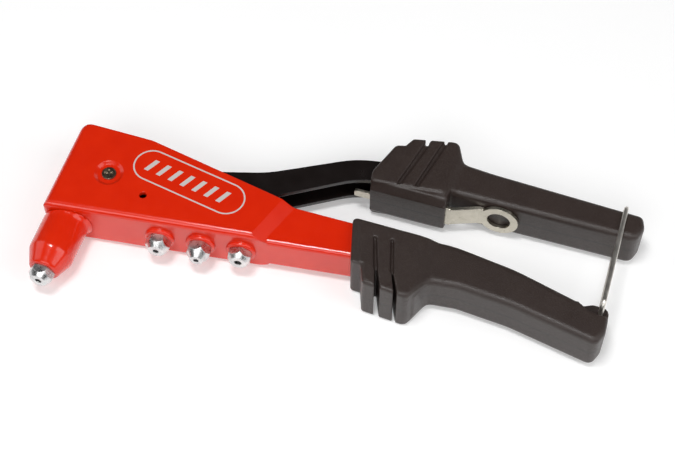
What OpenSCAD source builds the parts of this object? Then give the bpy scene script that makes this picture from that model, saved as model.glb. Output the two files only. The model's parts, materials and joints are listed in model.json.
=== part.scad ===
// Hand riveter with a pressed steel frame, a channel lever, moulded grips, a wire bail that latches
// the handles shut, spare nosepieces and a spanner that slides into the upper grip.
// The origin is the centre of the fitted nosepiece's mouth. The nose points to -Y, the handles run
// to +X and the thickness is Z, so the tool lies on its side on the plane z = -rest_half.

/* [Frame] */
// Half thickness of the head, over its side walls
head_half = 12.5; // [12.2:0.1:12.8]
// Half thickness of the neck that carries the lower grip
neck_half = 9.5; // [9:0.1:9.8]
// Thickness of the steel sheet
sheet = 2; // [1.6:0.1:2.2]
// Height of the lower wall above the nose mouth, at the nose axis
lower_y = 32.4; // [32:0.1:33]
// Tilt of the lower wall
lower_tilt = 6.7; // [6.4:0.1:7]
// Distance from the nose axis to the front wall
front_x = 10; // [9.9:0.05:10.1]

/* [Nose] */
// Outside radius of the nose tube
nose_r = 10.25; // [10.1:0.05:10.4]
// Bore radius of the nose tube
nose_bore_r = 8; // [7.9:0.05:8.1]
// Height of the shoulder that the fitted nosepiece is screwed against
nose_seat_y = 5.5; // [5.2:0.1:5.8]
// Bore radius of the fitted nosepiece
mandrel_r = 1.5; // [1.3:0.1:1.7]
// Width across the flats of every nosepiece
hex_af = 10; // [9.8:0.1:10.2]
// Thread radius of every nosepiece
thread_r = 4; // [3.8:0.1:4.1]

/* [Lever] */
// Position of the lever pivot along X
pivot_x = 12.6; // [12.4:0.1:12.8]
// Position of the lever pivot along Y
pivot_y = 55.6; // [55.4:0.1:55.8]
// Radius of the pivot pin
pin_r = 3.2; // [3.1:0.05:3.3]
// How far the lever opens
lever_travel = 50; // [46:1:52]
// Half thickness of the lever, over its two plates
lever_half = 7; // [6.8:0.1:7.1]

/* [Jaws] */
// Half angle of the jaw case's cone
cone_angle = 14; // [13:0.5:15]
// How far the jaws can be pushed back along the cone
jaw_travel = 2.5; // [2:0.1:2.5]
// Gap between a running piece and its bore
running_gap = 0.05; // [0.03:0.01:0.08]

/* [Grips] */
// Half thickness of the ridged blocks, which the tool lies on
rest_half = 13; // [13:0.1:13.4]
// Half thickness of the grips behind the ridges
grip_half = 10.6; // [10.2:0.1:10.6]
// Rounding of the grips' long edges
grip_round = 2.4; // [1.5:0.1:3]

/* [Bail and wrench] */
// Radius of the bail wire
wire_r = 1.1; // [1:0.05:1.1]
// Thickness of the wrench
wrench_t = 1.6; // [1.4:0.1:1.8]
// Width of the wrench's blade
wrench_w = 12.4; // [12:0.1:12.6]
// Outside diameter of the wrench's ring
ring_d = 17.8; // [17:0.1:18.2]
// Hole diameter of the wrench's ring
ring_hole_d = 10.7; // [10.2:0.1:11]

/* [Hidden] */
$fn = 64;

red = [0.82, 0.12, 0.03];
black = [0.05, 0.045, 0.045];
grip_brown = [0.16, 0.13, 0.12];
zinc = [0.78, 0.78, 0.76];
nickel = [0.72, 0.70, 0.64];
steel = [0.45, 0.45, 0.46];

// Lever arm that drives the jaw case: it swings half its travel either side of square to the nose.
arm_angle = lever_travel / 2;
slot_near = pivot_x - 0.2;
slot_far = pivot_x / cos(arm_angle) + 0.2;
slot_half = 2.25;
trunnion_r = 2;
trunnion_y = pivot_y + pivot_x * tan(arm_angle);

// Spare nosepieces along the lower wall: distance along X, length out of the wall, mouth radius, bore
boss_top = 1.8;
spares = [[42.9, 7.8, 3.7, 1.3], [61.5, 9.2, 2.9, 1.2], [79.9, 6.9, 3.9, 1.7]];

// Jaw case, with the handles closed
case_front = 26;
case_shoulder = 36;
case_split = 50;
case_r = nose_bore_r - running_gap;
neck_r = 6.2;
case_bore = 5.2;
cone_start = 26.8;
cone_r0 = 2.7;
cone_end = cone_start + (case_bore - cone_r0) / tan(cone_angle);
jaw_front = 28.2;
jaw_back = 35.6;
pusher_front = 35.9;
pusher_back = 39;
spigot = 46;
tail_top = 67;
seat_y = 43;

// Bail pivot in the lower grip's lug, and the bar over the upper grip
bail_x = 239.4;
bail_y = 54.5;
bail_z = rest_half - wire_r;
bar_x = 239;
bar_y = 107.8;

// Wrench blade and ring, between these distances along Y
blade_y = 86.2;
ring_y = 90.8;
ring_x = 185.5;

function lower_at(x) = lower_y + tan(lower_tilt) * x;
function unit(v) = v / norm(v);
function turn(v, a) = [v[0] * cos(a) - v[1] * sin(a), v[0] * sin(a) + v[1] * cos(a)];

// An outline of [x, y, corner radius] points, anticlockwise, with each corner as an arc.
function corner_arc(a, b, c, r, steps) =
    let (
        p = [b[0], b[1]],
        u = unit([a[0], a[1]] - p),
        v = unit([c[0], c[1]] - p),
        half = acos(max(-1, min(1, u * v))) / 2,
        reach = r / tan(half),
        side = sign(u[0] * v[1] - u[1] * v[0]),
        centre = p + unit(u + v) * r / sin(half),
        spoke = p + u * reach - centre,
        sweep = side * (180 - 2 * half)
    )
    r == 0 ? [p] : [for (i = [0 : steps]) centre + turn(spoke, -sweep * i / steps)];
function outline(pts, steps = 6) =
    let (n = len(pts))
    [for (i = [0 : n - 1]) each corner_arc(pts[(i + n - 1) % n], pts[i], pts[(i + 1) % n], pts[i][2], steps)];

// The same path moved inwards by d.
function inset(path, d) =
    let (n = len(path))
    [for (i = [0 : n - 1])
        let (
            u = unit(path[i] - path[(i + n - 1) % n]),
            v = unit(path[(i + 1) % n] - path[i]),
            m = unit([-u[1], u[0]] + [-v[1], v[0]]),
            c = m * [-u[1], u[0]]
        )
        path[i] + m * d / max(c, 0.5)];

// Triangles that fill a path, cut off it one corner at a time. A corner can go if it points outwards
// and no other point lies in its triangle.
function left_of(a, b, p) = (b[0] - a[0]) * (p[1] - a[1]) - (b[1] - a[1]) * (p[0] - a[0]) > 0;
function free_corner(path, left, i) =
    let (
        n = len(left),
        a = path[left[(i + n - 1) % n]],
        b = path[left[i]],
        c = path[left[(i + 1) % n]]
    )
    left_of(a, b, c) && len([for (k = [2 : n - 2])
        let (p = path[left[(i + k) % n]])
        if (left_of(a, b, p) && left_of(b, c, p) && left_of(c, a, p)) k]) == 0;
function first_free(path, left, i = 0) =
    i == len(left) - 1 || free_corner(path, left, i) ? i : first_free(path, left, i + 1);
function triangles(path, left) =
    len(left) == 3 ? [left] :
    let (
        n = len(left),
        e = first_free(path, left)
    )
    concat([[left[(e + n - 1) % n], left[e], left[(e + 1) % n]]],
        triangles(path, [for (i = [0 : n - 1]) if (i != e) left[i]]));

// A prism of half height half, with its long edges rounded to r.
module soft_prism(path, half, r, steps = 3) {
    n = len(path);
    quarter = [for (i = [0 : steps]) [r * (1 - cos(90 * i / steps)), half - r + r * sin(90 * i / steps)]];
    levels = concat([for (i = [steps : -1 : 0]) [quarter[i][0], -quarter[i][1]]], quarter);
    rings = len(levels);
    points = [for (l = levels) each [for (p = inset(path, l[0])) [p[0], p[1], l[1]]]];
    sides = [for (k = [0 : rings - 2]) for (i = [0 : n - 1])
        let (j = (i + 1) % n)
        [k * n + i, (k + 1) * n + i, (k + 1) * n + j, k * n + j]];
    cap = triangles(inset(path, r), [for (i = [0 : n - 1]) i]);
    top = (rings - 1) * n;
    polyhedron(points, concat(cap, sides, [for (t = cap) [top + t[2], top + t[1], top + t[0]]]));
}

module slab(path, half) {
    translate([0, 0, -half]) linear_extrude(2 * half) polygon(path);
}

// Children's first axis becomes the radius and the second runs along the nose axis.
module about_nose() {
    rotate([-90, 0, 0]) rotate_extrude() children();
}

module disc_along_nose(r, y0, y1) {
    translate([0, y0, 0]) rotate([-90, 0, 0]) cylinder(r = r, h = y1 - y0);
}

// On the lower wall's outside at x, with +Z pointing out of the wall.
module on_lower_wall(x) {
    translate([x, lower_at(x), 0]) rotate([0, 0, lower_tilt]) rotate([90, 0, 0]) children();
}

// A bar of the given half thickness whose near side is a rounded edge.
module round_nosed_2d(half, r, length) {
    translate([r, -half]) square([length, 2 * half]);
    translate([0, r - half]) square([r + 1, 2 * (half - r)]);
    for (s = [-1, 1]) translate([r, s * (half - r)]) circle(r);
}

module front_bar(x, half, r) {
    translate([x, 150, 0]) rotate([90, 0, 0]) linear_extrude(300) round_nosed_2d(half, r, 300);
}

module lower_bar(depth, half, r) {
    translate([0, lower_at(0), 0]) rotate([0, 0, lower_tilt]) translate([-60, depth, 0])
        rotate([90, 0, 90]) linear_extrude(300) round_nosed_2d(half, r, 120);
}

// The side walls step in from the head to the neck along a slanted joggle.
joggle = [91, 54];
joggle_slant = 20;
joggle_half = 3;
module joggled(head, neck) {
    overlap = 1.5;
    end = joggle_half + overlap;
    end_half = neck - overlap * (head - neck) / (2 * joggle_half);
    translate([joggle[0], joggle[1], 0]) rotate([0, 0, -joggle_slant]) translate([0, 100, 0])
        rotate([90, 0, 0]) linear_extrude(200)
            polygon([[-140, -head], [-joggle_half, -head], [end, -end_half], [end, end_half],
                [-joggle_half, head], [-140, head]]);
}

neck_top = 64.2;
neck_end = 158;
frame_outline = outline([[-front_x, lower_at(-front_x), 1.5], [neck_end, lower_at(neck_end), 0],
    [neck_end, neck_top, 0], [96.5, neck_top, 9], [87.5, 66.2, 9], [25, 78.2, 14],
    [-front_x, 78.6, 6]]);
cavity_outline = outline([[sheet - front_x, lower_at(sheet - front_x) + sheet, 0.5],
    [neck_end + 5, lower_at(neck_end + 5) + sheet, 0], [neck_end + 5, 95, 0], [3, 95, 0],
    [3, 78.6 - sheet, 0], [sheet - front_x, 78.6 - sheet, 4]]);

module frame_solid() {
    intersection() {
        slab(frame_outline, head_half);
        front_bar(-front_x, head_half, 4);
        lower_bar(0, head_half, 3);
        joggled(head_half, neck_half);
    }
    intersection() {
        slab(frame_outline, neck_half);
        front_bar(75, neck_half, 1);
        lower_bar(0, neck_half, 2.4);
    }
}

module frame_cavity() {
    intersection() {
        slab(cavity_outline, head_half);
        front_bar(sheet - front_x, head_half - sheet, 2);
        lower_bar(sheet, head_half - sheet, 1);
        joggled(head_half - sheet, neck_half - sheet);
    }
    intersection() {
        slab(cavity_outline, neck_half);
        front_bar(75, neck_half - sheet, 1);
        lower_bar(sheet, neck_half - sheet, 1);
    }
}

dish_r = 6.7;
dish_depth = 1;
module frame() color(red) {
    difference() {
        union() {
            difference() {
                frame_solid();
                frame_cavity();
            }
            // pads behind the dishes that the pivot pin sits in
            for (s = [0, 1]) mirror([0, 0, s]) translate([pivot_x, pivot_y, head_half - sheet - dish_depth])
                cylinder(r = dish_r + 0.6, h = dish_depth + 0.1);
            // drawn collars that hold the spare nosepieces
            for (b = spares) on_lower_wall(b[0]) rotate_extrude() {
                translate([0, -sheet]) square([6.8, sheet + 0.6]);
                translate([0, 0]) square([5.6, boss_top]);
                translate([5.6, 0.6]) circle(boss_top - 0.6);
            }
        }
        for (s = [0, 1]) mirror([0, 0, s]) translate([pivot_x, pivot_y, head_half - dish_depth])
            cylinder(r1 = dish_r - 1.5, r2 = dish_r + 0.1, h = dish_depth + 0.1);
        translate([pivot_x, pivot_y, -20]) cylinder(r = pin_r, h = 40);
        // small hole through both walls
        translate([31.7, 48.7, -20]) cylinder(r = 1.65, h = 40);
        // stop notch in the head's upper edges
        translate([76, 69.3, -20]) cylinder(r = 0.9, h = 40);
        disc_along_nose(nose_bore_r + 0.05, lower_y - 6, lower_y + 6);
        for (b = spares) on_lower_wall(b[0]) translate([0, 0, -sheet - 1]) cylinder(r = thread_r, h = 8);
    }
}

nose_cone_y = 13.8;
nose_step_y = 13.6;
flare_r = 3.5;
module nose_tube() color(red) {
    intersection() {
        difference() {
            about_nose() {
                polygon([[0, nose_seat_y], [6.7, nose_seat_y], [nose_r, nose_cone_y], [nose_r, 40],
                    [0, 40]]);
                translate([nose_r - 1, lower_y - 2]) difference() {
                    square([flare_r + 1, 9]);
                    translate([flare_r + 1, 0]) circle(flare_r);
                }
            }
            disc_along_nose(nose_bore_r, nose_step_y, 50);
            disc_along_nose(thread_r, 0, 20);
        }
        rotate([0, 0, lower_tilt]) translate([-60, lower_at(0) * cos(lower_tilt) - 60, -head_half + 0.2])
            cube([120, 60, 2 * head_half - 0.4]);
        translate([-front_x - 0.25, -5, -20]) cube([60, 60, 40]);
    }
}

// Along +Z: a threaded shank below 0, a hexagon, and a cone down to the mouth.
module nosepiece(length, mouth_r, bore_r, shank) {
    corner_r = hex_af / 2 / cos(30);
    difference() {
        union() {
            intersection() {
                cylinder(r = corner_r, h = length, $fn = 6);
                rotate_extrude() polygon([[0, 0], [corner_r - 0.4, 0], [corner_r + 0.1, 0.5],
                    [corner_r + 0.1, length * 0.45], [mouth_r, length], [0, length]]);
            }
            translate([0, 0, -shank]) cylinder(r = thread_r - running_gap, h = shank + 0.5);
        }
        translate([0, 0, -shank - 1]) cylinder(r = bore_r, h = shank + length + 2);
    }
}

module fitted_nosepiece() color(zinc) {
    translate([0, nose_seat_y, 0]) rotate([90, 0, 0]) nosepiece(nose_seat_y, 3.8, mandrel_r, 7.5);
}

module spare(i) color(zinc) {
    b = spares[i];
    on_lower_wall(b[0]) translate([0, 0, boss_top]) rotate([0, 0, 12 * i])
        nosepiece(b[1] - boss_top, b[2], b[3], 6);
}
module spare_nosepiece_1() spare(0);
module spare_nosepiece_2() spare(1);
module spare_nosepiece_3() spare(2);

module pivot_pin() color(steel) {
    translate([pivot_x, pivot_y, 0]) difference() {
        translate([0, 0, -rest_half]) cylinder(r = pin_r, h = rest_half + head_half - 0.3);
        for (a = [0, 90]) rotate([0, 0, a + 20]) translate([-2, -0.4, head_half - 0.9]) cube([4, 0.8, 2]);
    }
}

// Plate across the frame that the return spring pushes against.
module spring_seat() color(steel) {
    half = head_half - sheet;
    difference() {
        translate([sheet - front_x, seat_y + 1.8, 0]) rotate([90, 0, 0]) linear_extrude(1.8)
            intersection() {
                round_nosed_2d(half, 2.2, 16);
                translate([0, -half]) square([16, 2 * half]);
            }
        disc_along_nose(neck_r + 0.3, seat_y - 1, seat_y + 3);
    }
}

lever_outline = outline([[14, 47.9, 0], [77.2, 63.8, 60], [119.2, 89.4, 35], [136, 91.5, 0],
    [168, 94.4, 1], [168, 103.6, 1], [136, 103.4, 20], [115.5, 99.7, 45], [79.4, 80.4, 60],
    [10.4, 60.6, 0]], 8);

module lever_plate_2d() {
    tip = (slot_near + slot_far) / 2;
    difference() {
        union() {
            polygon(lever_outline);
            translate([pivot_x, pivot_y]) {
                circle(8);
                rotate(180 - arm_angle) {
                    translate([tip, 0]) circle(4.4);
                    polygon([[0, -7.6], [tip, -4.4], [tip, 4.4], [0, 7.6]]);
                }
            }
        }
        translate([pivot_x, pivot_y]) {
            circle(pin_r + running_gap);
            rotate(180 - arm_angle) {
                for (d = [slot_near, slot_far]) translate([d, 0]) circle(slot_half);
                translate([slot_near, -slot_half]) square([slot_far - slot_near, 2 * slot_half]);
            }
        }
    }
}

lever_sheet = 2;
module lever() color(black) {
    for (s = [0, 1]) mirror([0, 0, s]) translate([0, 0, lever_half - lever_sheet])
        linear_extrude(lever_sheet) lever_plate_2d();
    // the web along the channel's upper side
    translate([0, 0, -lever_half + 0.5]) linear_extrude(2 * lever_half - 1) intersection() {
        difference() {
            polygon(lever_outline);
            translate([1, -lever_sheet]) polygon(lever_outline);
        }
        translate([38, 50]) square([120, 60]);
    }
}

module pivot_bush() color(steel) {
    inner = lever_half - lever_sheet;
    translate([pivot_x, pivot_y, -inner]) difference() {
        cylinder(r = 5, h = 2 * inner);
        translate([0, 0, -1]) cylinder(r = pin_r + running_gap, h = 2 * inner + 2);
    }
}

// Both grips: the ridged block is thicker than the handle behind it, and slopes down to it.
block_round = 1.4;
ramp_start = 158.6;
ramp_end = 165;
module grip_block(path) {
    intersection() {
        soft_prism(path, rest_half, block_round);
        translate([0, 150, 0]) rotate([90, 0, 0]) linear_extrude(150)
            polygon([[100, -20], [ramp_start, -20], [ramp_start, -rest_half],
                [ramp_start + 2, 0.6 - rest_half], [ramp_end, 0.3 - grip_half],
                [ramp_end, grip_half - 0.3], [ramp_start + 2, rest_half - 0.6],
                [ramp_start, rest_half], [ramp_start, 20], [100, 20]]);
    }
}

// Cuts a shape into both faces of a grip, to this depth.
groove_depth = 1.5;
module engrave(pts, depth = groove_depth) {
    for (s = [0, 1]) mirror([0, 0, s]) translate([0, 0, rest_half - depth]) linear_extrude(depth + 1)
        polygon(pts);
}

upper_block = outline([[126.3, 86.2, 2], [161.6, 89.9, 0], [162.4, 93.2, 0], [166, 93.4, 0], [166, 106, 0],
    [163.6, 109.8, 0], [159, 119.2, 2.6], [138.4, 114.9, 1.8], [135.9, 110.2, 0], [131.7, 109.2, 3],
    [125.4, 92, 6]]);
upper_handle = outline([[150, 92.6, 0], [246.6, 92.9, 4], [249.2, 100, 6], [247.2, 106, 3],
    [178, 108.9, 60], [163.5, 110.2, 7], [158.6, 117.6, 2.8], [150, 112, 0]], 8);
holder_x = [126.6, 161.8];
holder_half = 8;
strip_half = 12.3;
module upper_grip() color(grip_brown) {
    difference() {
        union() {
            grip_block(upper_block);
            soft_prism(upper_handle, grip_half, grip_round);
            // holder that the wrench slides into
            translate([holder_x[0], 0, 0]) rotate([90, 0, 90]) linear_extrude(holder_x[1] - holder_x[0])
                polygon([[84.8, -holder_half], [87.2, -strip_half], [94, -strip_half], [94, strip_half],
                    [87.2, strip_half], [84.8, holder_half]]);
        }
        // grooves between the ridges, and the notches where they run out
        engrave([[138, 88.4], [139.9, 88.6], [146.8, 114], [144.2, 114]]);
        engrave([[145.9, 89.5], [147.7, 89.7], [154.4, 117], [152, 117]]);
        slab([[144.3, 113.6], [145.7, 113.4], [147.8, 120], [143.8, 120]], 20);
        slab([[152.5, 116.6], [153.7, 116.6], [155.1, 121], [152.5, 121]], 20);
        slab(inset(lever_outline, -running_gap), lever_half + running_gap);
        translate([100, blade_y - 0.15, -wrench_w / 2 - 0.15]) cube([80, wrench_t + 0.3, wrench_w + 0.3]);
    }
}

lower_block = outline([[130.2, 43.4, 1.8], [134.8, 43.2, 0], [138, 34.6, 1.6], [158.6, 32.9, 2.6],
    [162.6, 40.6, 0], [165.6, 45.6, 0], [165.6, 65.4, 0], [124.4, 65.9, 2]]);
lower_handle = outline([[148, 46, 0], [155.4, 34.4, 3], [161, 36, 3], [164.5, 44.6, 6], [178, 46, 20],
    [202, 44, 60], [240.8, 36.6, 3.5], [243.4, 43, 6], [242.8, 58.1, 3.4], [235.2, 58.1, 3],
    [228.6, 55, 4], [200, 62.3, 80], [172, 66.2, 60], [148, 66, 0]], 6);
lug_half = 4.6;
module lower_grip() color(grip_brown) {
    difference() {
        union() {
            grip_block(lower_block);
            soft_prism(lower_handle, grip_half, grip_round);
        }
        slab(inset(frame_outline, -running_gap), neck_half + running_gap);
        // the first ridge stands a little above the block's end
        engrave([[120, 70], [120, 30], [138.2, 30], [136.9, 34.4], [127, 67]], 0.45);
        // grooves between the ridges, and the gaps that they open into
        engrave([[135.9, 58.8], [140.9, 42.6], [142.9, 42.6], [137.6, 58.4]]);
        engrave([[143.7, 59.6], [148.2, 42.8], [150, 42.8], [145.3, 59.2]]);
        slab([[141.2, 43], [143.6, 34.4], [143.6, 30], [147.4, 30], [146.3, 34], [142.5, 43]], 20);
        slab([[148.6, 43.2], [152.3, 34.2], [152.3, 30], [155, 30], [154, 33.6], [149.5, 43.2]], 20);
        // shoulders cut away beside the bail's lug
        for (s = [0, 1]) mirror([0, 0, s]) translate([0, 0, lug_half]) linear_extrude(20)
            polygon([[227.6, 62], [229.4, 54.2], [234.4, 51], [250, 50], [250, 62]]);
        translate([bail_x, bail_y, -20]) cylinder(r = wire_r + running_gap, h = 40);
    }
}

// A quarter bend of wire whose centre is at the origin, from the +X direction round to +Y.
module quarter_bend(bend) {
    rotate_extrude(angle = 90) translate([bend, 0]) circle(wire_r, $fn = 24);
}

module bail() color(zinc) {
    bend = 3;
    lean = atan2(bar_x - bail_x, bar_y - bail_y);
    leg = norm([bar_x - bail_x, bar_y - bail_y]);
    translate([bail_x, bail_y, 0]) rotate([0, 0, -lean]) {
        translate([0, leg, bend - bail_z]) cylinder(r = wire_r, h = 2 * (bail_z - bend), $fn = 24);
        for (s = [0, 1]) mirror([0, 0, s]) {
            translate([0, leg - bend, bail_z - bend]) rotate([90, 0, 90]) quarter_bend(bend);
            translate([0, bend, bail_z]) rotate([-90, 0, 0])
                cylinder(r = wire_r, h = leg - 2 * bend, $fn = 24);
            translate([0, bend, bail_z - bend]) rotate([0, 90, 0]) rotate([0, 0, 180]) quarter_bend(bend);
            translate([0, 0, 1.5]) cylinder(r = wire_r, h = bail_z - bend - 1.5, $fn = 24);
        }
    }
}

module wrench() color(nickel) {
    half = wrench_w / 2;
    drop = ring_y - blade_y;
    difference() {
        union() {
            translate([131, blade_y, -half]) cube([33, wrench_t, wrench_w]);
            // tapered tip
            translate([0, blade_y + wrench_t, 0]) rotate([90, 0, 0]) linear_extrude(wrench_t)
                polygon([[119, -1.5], [120, -1.9], [128, -1.9], [131.1, -half], [131.1, half], [128, 1.9],
                    [120, 1.9], [119, 1.5]]);
            // sloping stretch between the blade and the ring
            translate([0, 0, -half + 0.6]) linear_extrude(wrench_w - 1.2)
                polygon([[163.9, blade_y], [164, blade_y], [176, ring_y], [178, ring_y],
                    [178, ring_y + wrench_t], [175.6, ring_y + wrench_t], [163.6, blade_y + wrench_t]]);
            translate([ring_x, ring_y, 0]) rotate([-90, 0, 0]) cylinder(r = ring_d / 2, h = wrench_t);
        }
        translate([ring_x, ring_y - drop, 0]) rotate([-90, 0, 0]) cylinder(r = ring_hole_d / 2, h = 20);
    }
}

module jaw_case() color(steel) {
    difference() {
        about_nose() polygon([[0, case_front], [case_r - 1, case_front], [case_r, case_front + 1],
            [case_r, case_shoulder], [neck_r, case_shoulder], [neck_r, case_split], [0, case_split]]);
        about_nose() polygon([[0, case_front - 1], [cone_r0, case_front - 1], [cone_r0, cone_start],
            [case_bore, cone_end], [case_bore, case_split + 1], [0, case_split + 1]]);
    }
}

module case_tail() color(steel) {
    difference() {
        about_nose() polygon([[0, spigot], [case_bore - 0.02, spigot], [case_bore - 0.02, case_split],
            [neck_r, case_split], [neck_r, 53], [4.6, 54], [4.6, tail_top - 1], [3.8, tail_top],
            [0, tail_top]]);
        disc_along_nose(2.2, spigot - 1, tail_top + 1);
        translate([0, trunnion_y, -20]) cylinder(r = trunnion_r, h = 40);
    }
}

module trunnion_pins() color(steel) {
    for (s = [0, 1]) mirror([0, 0, s]) translate([0, trunnion_y, 3]) cylinder(r = trunnion_r, h = 5.4);
}

// Half of a cone, with a groove for the mandrel on its flat side.
module jaw_half(side) {
    slope = tan(cone_angle);
    r_front = cone_r0 + (jaw_front - cone_start) * slope - running_gap;
    r_back = case_bore - jaw_travel * sin(cone_angle) - 0.1;
    y_back = jaw_front + (r_back - r_front) / slope;
    intersection() {
        about_nose() difference() {
            polygon([[0, jaw_front], [r_front, jaw_front], [r_back, y_back], [r_back, jaw_back],
                [0, jaw_back]]);
            square([1, 60]);
        }
        translate([side > 0 ? 0.2 : -10.2, 20, -10]) cube([10, 20, 20]);
    }
}
module jaw_a() color(steel) jaw_half(-1);
module jaw_b() color(steel) jaw_half(1);

module jaw_pusher() color(steel) {
    about_nose() polygon([[1.9, pusher_front], [4.2, pusher_front], [case_bore - 0.08, pusher_front + 0.9],
        [case_bore - 0.08, pusher_back], [1.9, pusher_back]]);
}

// A coil of round wire along the nose axis, between y0 and y1.
module coil(y0, y1, r, wire, turns) {
    sides = 8;
    per_turn = 16;
    steps = turns * per_turn;
    rise = (y1 - y0 - 2 * wire) / steps;
    points = [for (i = [0 : steps]) for (k = [0 : sides - 1])
        let (
            a = 360 * i / per_turn,
            b = 360 * k / sides,
            q = r + wire * cos(b)
        )
        [q * cos(a), y0 + wire + rise * i + wire * sin(b), q * sin(a)]];
    faces = [for (i = [0 : steps - 1]) for (k = [0 : sides - 1])
        let (j = (k + 1) % sides)
        [i * sides + k, i * sides + j, (i + 1) * sides + j, (i + 1) * sides + k]];
    polyhedron(points, concat([[for (k = [sides - 1 : -1 : 0]) k]], faces,
        [[for (k = [0 : sides - 1]) steps * sides + k]]));
}
module return_spring() color(steel) coil(case_shoulder + 0.05, seat_y - 0.05, 7.15, 0.55, 5);
module jaw_spring() color(steel) coil(pusher_back + 0.05, spigot - 0.05, 4.2, 0.4, 5);

frame();
nose_tube();
fitted_nosepiece();
spare_nosepiece_1();
spare_nosepiece_2();
spare_nosepiece_3();
pivot_pin();
spring_seat();
lower_grip();
lever();
pivot_bush();
upper_grip();
jaw_case();
case_tail();
trunnion_pins();
return_spring();
jaw_a();
jaw_b();
jaw_pusher();
jaw_spring();
bail();
wrench();
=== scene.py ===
"""Looks of the hand riveter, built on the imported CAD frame. Lengths are in metres, in the CAD's own frame:
the origin is the centre of the fitted nosepiece's mouth, the nose points to -Y, the handles run to +X
and the tool lies on its side."""

import json
import math

import bpy
from mathutils import Matrix, Vector


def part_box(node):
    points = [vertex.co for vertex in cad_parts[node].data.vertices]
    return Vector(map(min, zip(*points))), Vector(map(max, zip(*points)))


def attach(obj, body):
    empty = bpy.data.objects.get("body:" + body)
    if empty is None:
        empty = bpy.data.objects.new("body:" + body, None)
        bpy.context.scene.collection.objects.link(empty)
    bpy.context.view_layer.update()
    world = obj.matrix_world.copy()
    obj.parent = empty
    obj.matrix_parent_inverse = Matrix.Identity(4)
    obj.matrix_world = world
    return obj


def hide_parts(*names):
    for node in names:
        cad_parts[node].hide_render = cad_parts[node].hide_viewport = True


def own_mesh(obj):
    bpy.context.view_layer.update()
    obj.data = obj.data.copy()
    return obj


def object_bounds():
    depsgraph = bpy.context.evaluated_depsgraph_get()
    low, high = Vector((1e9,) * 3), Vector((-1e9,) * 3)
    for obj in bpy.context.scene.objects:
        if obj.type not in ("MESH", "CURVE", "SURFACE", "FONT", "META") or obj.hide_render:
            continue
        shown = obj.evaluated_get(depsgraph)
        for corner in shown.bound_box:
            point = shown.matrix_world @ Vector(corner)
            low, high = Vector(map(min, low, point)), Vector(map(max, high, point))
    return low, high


MM = 0.001

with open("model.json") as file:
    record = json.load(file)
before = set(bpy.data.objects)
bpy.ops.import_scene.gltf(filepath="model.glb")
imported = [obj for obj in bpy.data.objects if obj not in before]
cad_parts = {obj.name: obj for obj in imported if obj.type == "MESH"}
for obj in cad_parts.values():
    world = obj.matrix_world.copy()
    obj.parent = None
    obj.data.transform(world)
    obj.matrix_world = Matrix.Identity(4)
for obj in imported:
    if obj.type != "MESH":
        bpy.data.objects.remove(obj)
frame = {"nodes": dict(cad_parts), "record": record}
cad_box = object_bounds()
nodes = frame["nodes"]

# Places read from the frame
REST_Z = cad_box[0].z
HEAD_TOP_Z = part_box("frame")[1].z

# Mark on the head: a stadium outline round a row of slanted bars
MARK_START = (29.7 * MM, 65.1 * MM)
MARK_END = (67.9 * MM, 58.2 * MM)
MARK_RADIUS = 8.1 * MM
MARK_LINE = 0.7 * MM
BAR_PITCH = 6.2 * MM
BAR_WIDTH = 2.2 * MM
BAR_HALF_HEIGHT = 3.4 * MM
BAR_SLANT = 0.35

# Where the grips' thick blocks slope down to their handles
RAMP_X = 161.5 * MM
RAMP_REACH = 6 * MM
RAMP_LOW_Z = 8.5 * MM
RAMP_PASSES = 60

# Wide bore of the nose tube, behind its thread
BORE_START = 14.2 * MM
BORE_RADIUS = 8.03 * MM

# View of the photograph
CAMERA_PLACE = (0.22829, -0.28882, 0.57449)
CAMERA_TARGET = (0.11688, 0.06723, 0)
CAMERA_RIGHT = (0.9544, 0.2986, 0)
CAMERA_LENS = 81.17
SENSOR = 36

# Folds of the frame's sheet, in the shading: the one at the nose end is wider
NOSE_FOLD_X = -8 * MM
NOSE_FOLD_REACH = 4 * MM
NOSE_FOLD_RADIUS = 1.9 * MM
FOLD_RADIUS = 0.75 * MM

# Glow of the white table and of the room, and the point that the lights face
FLOOR_GLOW = 0.26
WORLD_GLOW = 0.05
MIDDLE = (0.12, 0.06, 0)


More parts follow.
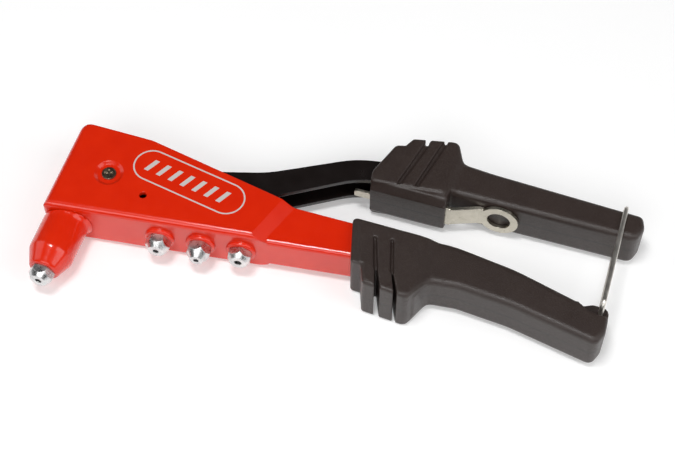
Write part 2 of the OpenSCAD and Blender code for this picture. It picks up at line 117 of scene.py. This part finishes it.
class Shader:
    """A material's node tree, with short calls for the nodes that it needs."""

    def __init__(self, name):
        self.material = bpy.data.materials.new(name)
        self.material.use_nodes = True
        self.tree = self.material.node_tree
        self.bsdf = self.tree.nodes["Principled BSDF"]
        self.place = self.tree.nodes.new("ShaderNodeTexCoord").outputs["Object"]

    def add(self, kind, inputs=None, **settings):
        """A node with these settings. Each input is a socket to link or a value to set."""
        made = self.tree.nodes.new(kind)
        for key, value in settings.items():
            setattr(made, key, value)
        for key, value in (inputs or {}).items():
            if isinstance(value, bpy.types.NodeSocket):
                self.tree.links.new(value, made.inputs[key])
            else:
                made.inputs[key].default_value = value
        return made

    def maths(self, operation, a, b=0.0):
        return self.add("ShaderNodeMath", {0: a, 1: b}, operation=operation).outputs[0]

    def noise(self, scale, detail=3.0, roughness=0.5, stretch=None):
        place = self.place
        if stretch:
            place = self.add("ShaderNodeMapping", {"Vector": place, "Scale": stretch}).outputs[0]
        return self.add("ShaderNodeTexNoise", {
            "Vector": place, "Scale": scale, "Detail": detail, "Roughness": roughness,
        }).outputs["Fac"]

    def spread(self, value, low, high, to_low, to_high):
        """value between low and high, as a number between to_low and to_high."""
        return self.add("ShaderNodeMapRange", {
            "Value": value, "From Min": low, "From Max": high, "To Min": to_low, "To Max": to_high,
        }).outputs["Result"]

    def mix(self, share, a, b):
        """Colour a where share is 0 and b where it is 1."""
        made = self.add("ShaderNodeMix", data_type="RGBA")
        for socket, value in ((made.inputs[0], share), (made.inputs[6], a), (made.inputs[7], b)):
            if isinstance(value, bpy.types.NodeSocket):
                self.tree.links.new(value, socket)
            else:
                socket.default_value = value if socket.type == "VALUE" else (*value, 1)
        return made.outputs[2]

    def bump(self, height, strength, distance, under=None):
        inputs = {"Height": height, "Strength": strength, "Distance": distance}
        if under:
            inputs["Normal"] = under
        return self.add("ShaderNodeBump", inputs).outputs[0]

    def rounded(self, radius):
        """Normals as if every sharp edge were rounded to this radius."""
        return self.add("ShaderNodeBevel", {"Radius": radius}, samples=6).outputs[0]

    def near_edge(self, radius, flat=0.995, worn=0.93):
        """1 within about this radius of a sharp edge and 0 on flat stretches."""
        true_normal = self.add("ShaderNodeNewGeometry").outputs["Normal"]
        bent = self.add("ShaderNodeVectorMath", {0: self.rounded(radius), 1: true_normal},
                        operation="DOT_PRODUCT").outputs["Value"]
        return self.spread(bent, flat, worn, 0, 1)

    def seam(self, half_width):
        """1 along the moulding's parting line, in the plane z = 0, and 0 elsewhere."""
        height = self.add("ShaderNodeSeparateXYZ", {"Vector": self.place}).outputs["Z"]
        return self.spread(self.maths("ABSOLUTE", height), half_width, half_width * 2, 1, 0)

    def finish(self, **sockets):
        """Sets the shader's sockets by name, with _ for a space, and gives the material."""
        for key, value in sockets.items():
            socket = self.bsdf.inputs[key.replace("_", " ")]
            if isinstance(value, bpy.types.NodeSocket):
                self.tree.links.new(value, socket)
            else:
                socket.default_value = (*value, 1) if isinstance(value, tuple) else value
        return self.material


def mark_mask(s):
    """1 on the lines and bars of the mark on the head's upper face."""
    axis = Vector(MARK_END) - Vector(MARK_START)
    length = axis.length
    turned = s.add("ShaderNodeMapping", {
        "Vector": s.place,
        "Location": (*MARK_START, 0),
        "Rotation": (0, 0, math.atan2(axis.y, axis.x)),
    }, vector_type="TEXTURE").outputs[0]
    parts = s.add("ShaderNodeSeparateXYZ", {"Vector": turned}).outputs
    along, across, height = parts["X"], parts["Y"], parts["Z"]
    past = s.maths("SUBTRACT", along, s.maths("MINIMUM", s.maths("MAXIMUM", along, 0.0), length))
    squares = s.maths("ADD", s.maths("MULTIPLY", past, past), s.maths("MULTIPLY", across, across))
    off_line = s.maths("ABSOLUTE", s.maths("SUBTRACT", s.maths("SQRT", squares), MARK_RADIUS))
    outline = s.maths("LESS_THAN", off_line, MARK_LINE / 2)
    slanted = s.maths("SUBTRACT", along, s.maths("MULTIPLY", across, BAR_SLANT))
    phase = s.maths("PINGPONG", slanted, BAR_PITCH / 2)
    bar = s.maths("LESS_THAN", phase, BAR_WIDTH / 2)
    inside = s.maths("LESS_THAN", s.maths("ABSOLUTE", across), BAR_HALF_HEIGHT)
    off_middle = s.maths("ABSOLUTE", s.maths("SUBTRACT", along, length / 2))
    ends = s.maths("LESS_THAN", off_middle, length / 2 + BAR_WIDTH)
    bars = s.maths("MULTIPLY", bar, s.maths("MULTIPLY", inside, ends))
    on_top = s.maths("GREATER_THAN", height, HEAD_TOP_Z - 0.2 * MM)
    return s.maths("MULTIPLY", s.maths("MAXIMUM", outline, bars), on_top)


def red_enamel():
    """Glossy enamel with a few chips and specks, and the mark on the head."""
    s = Shader("red_enamel")
    along = s.add("ShaderNodeSeparateXYZ", {"Vector": s.place}).outputs["X"]
    edge = s.spread(along, NOSE_FOLD_X, NOSE_FOLD_X + NOSE_FOLD_REACH, NOSE_FOLD_RADIUS, FOLD_RADIUS)
    flow = s.noise(90, 2.0)
    speck = s.noise(2600, 2.0)
    base = s.mix(s.spread(flow, 0.3, 0.7, 0, 1), (0.68, 0.0165, 0.0006), (0.72, 0.020, 0.0010))
    edge_marks = s.maths("MULTIPLY", s.near_edge(0.25 * MM), s.spread(s.noise(500, 3.0), 0.6, 0.68, 0, 0.8))
    base = s.mix(edge_marks, base, (0.25, 0.05, 0.03))
    dust = s.spread(speck, 0.70, 0.76, 0, 0.15)
    base = s.mix(dust, base, (0.55, 0.014, 0.003))
    ripple = s.bump(s.noise(420, 2.0), 0.05, 0.2 * MM, s.rounded(edge))
    return s.finish(
        Base_Color=s.mix(mark_mask(s), base, (0.60, 0.55, 0.52)),
        Roughness=s.spread(s.noise(300, 3.0), 0.3, 0.7, 0.18, 0.27),
        Normal=s.bump(speck, 0.03, 0.05 * MM, ripple),
        Coat_Weight=0.5, Coat_Roughness=0.05, Specular_IOR_Level=0.36,
    )


def black_enamel():
    """Thin enamel with worn spots along the edges, and every edge a little lighter as a painted highlight.
    """
    s = Shader("black_enamel")
    patch = s.noise(120, 4.0)
    # Worn spots along the edges, laid over a faint even lightening of every edge, which is a painted
    # highlight.
    edge_marks = s.maths("MULTIPLY", s.near_edge(0.3 * MM), s.spread(s.noise(600, 3.0), 0.5, 0.62, 0.1, 0.9))
    colour = s.mix(s.spread(patch, 0.3, 0.7, 0, 1), (0.0065, 0.0045, 0.004), (0.0095, 0.0065, 0.006))
    return s.finish(
        Base_Color=s.mix(edge_marks, colour, (0.05, 0.042, 0.038)),
        Roughness=s.spread(patch, 0.3, 0.7, 0.16, 0.28),
        Normal=s.bump(s.noise(420, 2.0), 0.08, 0.2 * MM, s.rounded(0.5 * MM)),
        Coat_Weight=0.25, Coat_Roughness=0.06, Specular_IOR_Level=0.45,
    )


def grip_plastic():
    """Grained moulding, lighter on its edges as rubbing and a painted sheen, with a parting line."""
    s = Shader("grip_plastic")
    cloud = s.noise(60, 3.0)
    grain = s.noise(1500, 4.0, 0.7)
    colour = s.mix(s.spread(cloud, 0.3, 0.7, 0, 1), (0.024, 0.0145, 0.0120), (0.031, 0.0200, 0.0168))
    colour = s.mix(s.spread(grain, 0.45, 0.75, 0, 0.5), colour, (0.058, 0.042, 0.035))
    # Every edge is made evenly lighter: a painted highlight along the folds that also stands for rubbing.
    edge_sheen_and_rub = s.maths("MULTIPLY", s.near_edge(0.8 * MM, 0.99, 0.9), 0.35)
    seam = s.seam(0.25 * MM)
    colour = s.mix(edge_sheen_and_rub, colour, (0.075, 0.062, 0.058))
    return s.finish(
        Base_Color=s.mix(s.maths("MULTIPLY", seam, 0.85), colour, (0.012, 0.009, 0.008)),
        Roughness=s.spread(s.noise(900, 3.0), 0.3, 0.7, 0.33, 0.45),
        Normal=s.bump(grain, 0.7, 0.22 * MM, s.bump(seam, -0.6, 0.3 * MM, s.rounded(0.4 * MM))),
        Specular_IOR_Level=0.5,
    )


def plated(name, dark, light, rough, streaks=None, edge=0.35, grain_height=0.06):
    """A metal with light and dark patches and fine grain, drawn out along one axis if streaks is given.
    edge, the rounding of its edges, and grain_height are in millimetres."""
    s = Shader(name)
    patch = s.noise(320, 4.0, 0.6)
    grain = s.noise(2400, 3.0, 0.6, stretch=streaks)
    shade = s.maths("ADD", s.maths("MULTIPLY", patch, 0.6), s.maths("MULTIPLY", grain, 0.4))
    return s.finish(
        Base_Color=s.mix(s.spread(shade, 0.35, 0.65, 0, 1), dark, light),
        Metallic=1.0,
        Roughness=s.spread(shade, 0.35, 0.65, rough[0], rough[1]),
        Normal=s.bump(grain, 0.3, grain_height * MM, s.rounded(edge * MM)),
    )


def floor_material():
    s = Shader("floor_white")
    return s.finish(
        Base_Color=s.mix(s.noise(6, 2.0), (0.80, 0.80, 0.80), (0.82, 0.82, 0.82)),
        Roughness=0.7,
        Emission_Color=(1.0, 1.0, 1.0), Emission_Strength=FLOOR_GLOW,
    )


MATERIALS = {
    "red_enamel": red_enamel(),
    "black_enamel": black_enamel(),
    "grip_plastic": grip_plastic(),
    "zinc_plate": plated("zinc_plate", (0.44, 0.44, 0.45), (0.84, 0.84, 0.83), (0.20, 0.40)),
    "nickel_plate": plated("nickel_plate", (0.50, 0.47, 0.39), (0.62, 0.58, 0.50), (0.26, 0.34),
                           streaks=(0.12, 1, 1)),
    "bright_wire": plated("bright_wire", (0.66, 0.63, 0.58), (0.82, 0.79, 0.74), (0.30, 0.42),
                          edge=0.1, grain_height=0.01),
    "dark_steel": plated("dark_steel", (0.12, 0.09, 0.065), (0.36, 0.28, 0.20), (0.25, 0.4)),
}


def paint(obj, slot):
    obj.data.materials.clear()
    obj.data.materials.append(MATERIALS[slot])


def apply_modifiers(obj):
    evaluated = obj.evaluated_get(bpy.context.evaluated_depsgraph_get())
    obj.data = bpy.data.meshes.new_from_object(evaluated)
    obj.modifiers.clear()


def copy_of(node, name):
    """A new piece with this CAD node's shape."""
    obj = bpy.data.objects.new(name, nodes[node].data.copy())
    bpy.context.scene.collection.objects.link(obj)
    return obj


def put_in_place(obj, node, body, slot):
    """obj stands for this CAD node, moves with this body and has this material slot's finish."""
    paint(obj, slot)
    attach(obj, body)
    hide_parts(node)
    return obj


def softened(node, body, name, slot, voxel=0.4 * MM, passes=3):
    """The node's shape as one skin with rounded edges, and more so where a grip's block meets its handle."""
    obj = copy_of(node, name)
    remesh = obj.modifiers.new("skin", "REMESH")
    remesh.mode = "VOXEL"
    remesh.voxel_size = voxel
    remesh.use_smooth_shade = True
    soften = obj.modifiers.new("soften", "SMOOTH")
    soften.factor = 0.5
    soften.iterations = passes
    apply_modifiers(obj)
    ramp = obj.vertex_groups.new(name="ramp")
    for vertex in obj.data.vertices:
        off = abs(vertex.co.x - RAMP_X) / RAMP_REACH
        if off < 1 and abs(vertex.co.z) > RAMP_LOW_Z:
            ramp.add([vertex.index], 1 - off * off, "REPLACE")
    blend = obj.modifiers.new("blend", "SMOOTH")
    blend.factor = 0.5
    blend.iterations = RAMP_PASSES
    blend.vertex_group = "ramp"
    apply_modifiers(obj)
    for polygon in obj.data.polygons:
        polygon.use_smooth = True
    return put_in_place(obj, node, body, slot)


def clear_bore(obj):
    """Keeps the nose tube's bore, along the Y axis, at its full radius, as the jaw case slides in it."""
    for vertex in obj.data.vertices:
        across = Vector((vertex.co.x, vertex.co.z))
        if vertex.co.y > BORE_START and 0 < across.length < BORE_RADIUS:
            across *= BORE_RADIUS / across.length
            vertex.co.x, vertex.co.z = across


for part in frame["record"]["subparts"]:
    paint(nodes[part["node"]], part["material_slot"])

softened("upper_grip", "lever", "upper_grip_moulding", "grip_plastic")
softened("lower_grip", "frame", "lower_grip_moulding", "grip_plastic")
clear_bore(softened("nose_tube", "frame", "nose_tube_skin", "red_enamel", voxel=0.3 * MM, passes=8))

coil = put_in_place(copy_of("jaw_spring", "jaw_spring_coil"), "jaw_spring", "jaw_case", "dark_steel")
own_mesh(coil)


def make_floor():
    bpy.ops.mesh.primitive_plane_add(size=6, location=(0.1, 0.1, REST_Z))
    floor = bpy.context.object
    floor.name = "floor"
    floor.data.materials.append(floor_material())


def area_light(name, place, size, power):
    """A rectangular light that faces the middle of the tool."""
    data = bpy.data.lights.new(name, "AREA")
    data.shape = "RECTANGLE"
    data.size, data.size_y = size
    data.energy = power
    light = bpy.data.objects.new(name, data)
    light.location = place
    light.rotation_mode = "QUATERNION"
    light.rotation_quaternion = (Vector(MIDDLE) - Vector(place)).to_track_quat("-Z", "Y")
    bpy.context.scene.collection.objects.link(light)


def make_light():
    world = bpy.data.worlds.new("studio")
    world.use_nodes = True
    world.node_tree.nodes["Background"].inputs["Color"].default_value = (1, 1, 1, 1)
    world.node_tree.nodes["Background"].inputs["Strength"].default_value = WORLD_GLOW
    bpy.context.scene.world = world
    area_light("overhead", (0.02, -0.12, 1.15), (0.30, 0.22), 6.5)
    area_light("front", (0.1, -1.0, 0.9), (1.3, 0.6), 7.2)
    area_light("right", (1.2, -0.1, 0.8), (0.8, 1.2), 7)
    area_light("left", (-0.95, 0.0, 0.7), (0.8, 0.9), 2.5)
    area_light("back", (0.5, 1.2, 0.4), (1.4, 0.3), 1.0)


def make_camera():
    data = bpy.data.cameras.new("camera")
    data.lens = CAMERA_LENS
    data.sensor_width = SENSOR
    data.clip_start, data.clip_end = 0.01, 20
    camera = bpy.data.objects.new("camera", data)
    bpy.context.scene.collection.objects.link(camera)
    back = (Vector(CAMERA_PLACE) - Vector(CAMERA_TARGET)).normalized()
    right = Vector(CAMERA_RIGHT).normalized()
    up = back.cross(right).normalized()
    right = up.cross(back)
    camera.matrix_world = Matrix.Translation(CAMERA_PLACE) @ Matrix((right, up, back)).transposed().to_4x4()
    bpy.context.scene.camera = camera
    bpy.context.scene.view_settings.view_transform = "Standard"


make_floor()
make_light()
make_camera()
